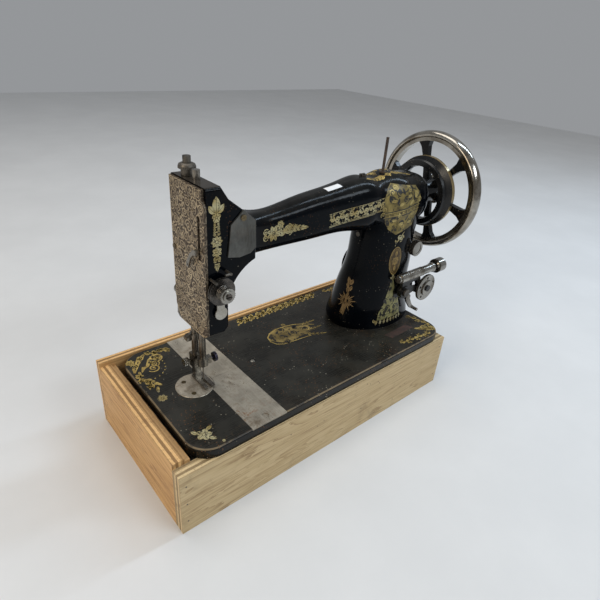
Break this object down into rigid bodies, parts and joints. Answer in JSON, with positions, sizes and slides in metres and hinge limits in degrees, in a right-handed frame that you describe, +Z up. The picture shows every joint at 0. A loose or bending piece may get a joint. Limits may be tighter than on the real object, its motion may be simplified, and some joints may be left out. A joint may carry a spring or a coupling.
{
  "type": "sewing machine head on a base box",
  "caption": "Household sewing machine: cast arm and bed, balance wheel, needle and presser bars, shuttle gear, bobbin winder, standing in a plywood base box.",
  "frame": {"origin": "under the middle of the whole object's bounding box, at the height of the base box's underside", "axes": "+X along the bed towards the handwheel, +Y towards the back (away from the operator), +Z up"},
  "size_m": [0.4436, 0.19, 0.3218],
  "materials": {
    "plywood": "satin",
    "japanned_iron": "gloss",
    "bright_steel": "satin",
    "grey_steel": "satin",
    "nickel": "gloss",
    "dark_iron": "satin",
    "dark_brass": "satin",
    "brown_engraved": "satin"
  },
  "bodies": {
    "machine": {"box_front_panel": "plywood", "box_back_panel": "plywood", "box_left_panel": "plywood", "box_right_panel": "plywood", "box_cleats": "plywood", "box_nails": "dark_iron", "bed": "japanned_iron", "arm_casting": "japanned_iron", "face_plate": "brown_engraved", "front_cover_plate": "grey_steel", "rear_cover_plate": "grey_steel", "cover_screws": "dark_brass", "needle_plate": "grey_steel", "slide_plate_rear": "grey_steel", "shaft_bushes": "dark_brass", "spool_pin": "dark_iron", "thread_guides": "nickel", "frame_screws": "dark_iron", "tension_post": "bright_steel", "tension_discs": "dark_iron", "tension_spring": "dark_iron", "slack_thread_regulator": "grey_steel", "winder_bracket": "japanned_iron"},
    "wheel": {"arm_shaft": "bright_steel", "needle_bar_crank": "dark_iron", "handwheel": "japanned_iron", "handwheel_rim": "nickel", "belt_pulley": "japanned_iron", "clamp_washer": "bright_steel"},
    "wheel_clamp": {"stop_motion_screw": "nickel"},
    "needle_bar": {"needle_bar": "bright_steel", "needle_bar_yoke": "dark_iron", "needle_clamp": "bright_steel", "needle": "bright_steel"},
    "needle_screw": {"needle_clamp_screw": "dark_iron"},
    "take_up": {"take_up_lever": "bright_steel"},
    "shuttle_lever": {"vibrating_lever": "dark_iron", "shuttle_carrier": "bright_steel", "shuttle": "bright_steel"},
    "bobbin": {"bobbin": "bright_steel"},
    "rocker": {"rocker_lever": "dark_iron"},
    "feed": {"feed_bar": "dark_iron", "feed_dog": "bright_steel"},
    "feed_rocker": {"feed_rock_shaft": "dark_iron"},
    "lifter": {"presser_lifter": "bright_steel"},
    "presser": {"presser_bar": "bright_steel", "presser_bar_guide": "dark_iron", "presser_foot": "bright_steel", "thread_cutter": "bright_steel", "presser_spring": "dark_iron"},
    "foot_screw": {"presser_foot_screw": "nickel"},
    "pressure_screw": {"pressure_screw": "dark_iron"},
    "tension_nut": {"tension_nut": "nickel"},
    "stitch_regulator": {"stitch_regulator": "nickel"},
    "front_slide": {"slide_plate_front": "grey_steel"},
    "winder": {"winder_frame": "japanned_iron"},
    "winder_spindle": {"winder_spindle": "nickel", "winder_pulley": "nickel"},
    "winder_cam": {"winder_cam_wheel": "nickel"},
    "winder_guide": {"winder_thread_guide": "nickel"}
  },
  "joints": [
    {"name": "wheel_turn", "type": "hinge", "parent": "machine", "child": "wheel", "pos_m": [0.19925, -0.004, 0.2466], "axis": [1, 0, 0], "continuous": true},
    {"name": "clamp_screw_turn", "type": "hinge", "parent": "wheel", "child": "wheel_clamp", "pos_m": [0.21425, -0.004, 0.2466], "axis": [1, 0, 0], "range_deg": [0, 180]},
    {"name": "needle_bar_slide", "type": "slide", "parent": "machine", "child": "needle_bar", "axis": [0, 0, 1], "range_m": [-0.004, 0.029]},
    {"name": "needle_screw_turn", "type": "hinge", "parent": "needle_bar", "child": "needle_screw", "pos_m": [-0.13015, -0.004, 0.1121], "axis": [1, 0, 0], "range_deg": [-180, 180]},
    {"name": "take_up_swing", "type": "hinge", "parent": "machine", "child": "take_up", "pos_m": [-0.11475, -0.0248, 0.2576], "axis": [0, 1, 0], "range_deg": [-5, 36]},
    {"name": "shuttle_lever_swing", "type": "hinge", "parent": "machine", "child": "shuttle_lever", "pos_m": [0.04325, -0.004, 0.0646], "axis": [0, 0, 1], "range_deg": [-23.5, 3.5]},
    {"name": "bobbin_spin", "type": "hinge", "parent": "shuttle_lever", "child": "bobbin", "pos_m": [-0.1284, -0.03427, 0.0744], "axis": [-0.1736, 0.9848, 0], "continuous": true},
    {"name": "rocker_swing", "type": "hinge", "parent": "machine", "child": "rocker", "pos_m": [0.10225, -0.004, 0.2096], "axis": [1, 0, 0], "range_deg": [-9.8, 1.6]},
    {"name": "feed_slide", "type": "slide", "parent": "machine", "child": "feed", "axis": [0, 1, 0], "range_m": [-0.0004, 0.0027]},
    {"name": "feed_rock", "type": "hinge", "parent": "machine", "child": "feed_rocker", "pos_m": [-0.04975, 0.043, 0.0526], "axis": [1, 0, 0], "range_deg": [-7.6, 1.2]},
    {"name": "lifter_turn", "type": "hinge", "parent": "machine", "child": "lifter", "pos_m": [-0.14825, 0.023, 0.1846], "axis": [0, -1, 0], "range_deg": [0, 85]},
    {"name": "presser_slide", "type": "slide", "parent": "machine", "child": "presser", "axis": [0, 0, 1], "range_m": [0, 0.00534], "deforming": ["presser_spring"]},
    {"name": "foot_screw_turn", "type": "hinge", "parent": "presser", "child": "foot_screw", "pos_m": [-0.15575, 0.0105, 0.1071], "axis": [1, 0, 0], "range_deg": [-180, 180]},
    {"name": "pressure_screw_turn", "type": "hinge", "parent": "machine", "child": "pressure_screw", "pos_m": [-0.14455, 0.0105, 0.2996], "axis": [0, 0, 1], "range_deg": [-180, 180]},
    {"name": "tension_nut_turn", "type": "hinge", "parent": "machine", "child": "tension_nut", "pos_m": [-0.14225, -0.049, 0.2096], "axis": [0, 1, 0], "range_deg": [-180, 180]},
    {"name": "stitch_regulator_turn", "type": "hinge", "parent": "machine", "child": "stitch_regulator", "pos_m": [0.14625, -0.038, 0.1876], "axis": [0, 1, 0], "range_deg": [-180, 180]},
    {"name": "front_slide_out", "type": "slide", "parent": "machine", "child": "front_slide", "axis": [0, -1, 0], "range_m": [0, 0.07]},
    {"name": "winder_swing", "type": "hinge", "parent": "machine", "child": "winder", "pos_m": [0.12525, -0.047, 0.1346], "axis": [0, -1, 0], "range_deg": [0, 11]},
    {"name": "winder_spindle_spin", "type": "hinge", "parent": "winder", "child": "winder_spindle", "pos_m": [0.14325, -0.047, 0.1556], "axis": [1, 0, 0], "continuous": true},
    {"name": "winder_cam_turn", "type": "hinge", "parent": "winder", "child": "winder_cam", "pos_m": [0.16675, -0.052, 0.1312], "axis": [0, 1, 0], "continuous": true},
    {"name": "winder_guide_swing", "type": "hinge", "parent": "winder", "child": "winder_guide", "pos_m": [0.14425, -0.043, 0.1186], "axis": [0, 1, 0], "range_deg": [-8, 8]}
  ],
  "couplings": [
    {"joint": "take_up_swing", "follows": "needle_bar_slide", "rad_per_m": 21.2},
    {"joint": "shuttle_lever_swing", "follows": "needle_bar_slide", "rad_per_m": -13.75},
    {"joint": "rocker_swing", "follows": "needle_bar_slide", "rad_per_m": -5.69},
    {"joint": "feed_slide", "follows": "needle_bar_slide", "ratio": 0.09},
    {"joint": "feed_rock", "follows": "needle_bar_slide", "rad_per_m": -4.39},
    {"joint": "lifter_turn", "follows": "presser_slide", "rad_per_m": 277.78},
    {"joint": "winder_cam_turn", "follows": "winder_spindle_spin", "ratio": -0.020833}
  ]
}
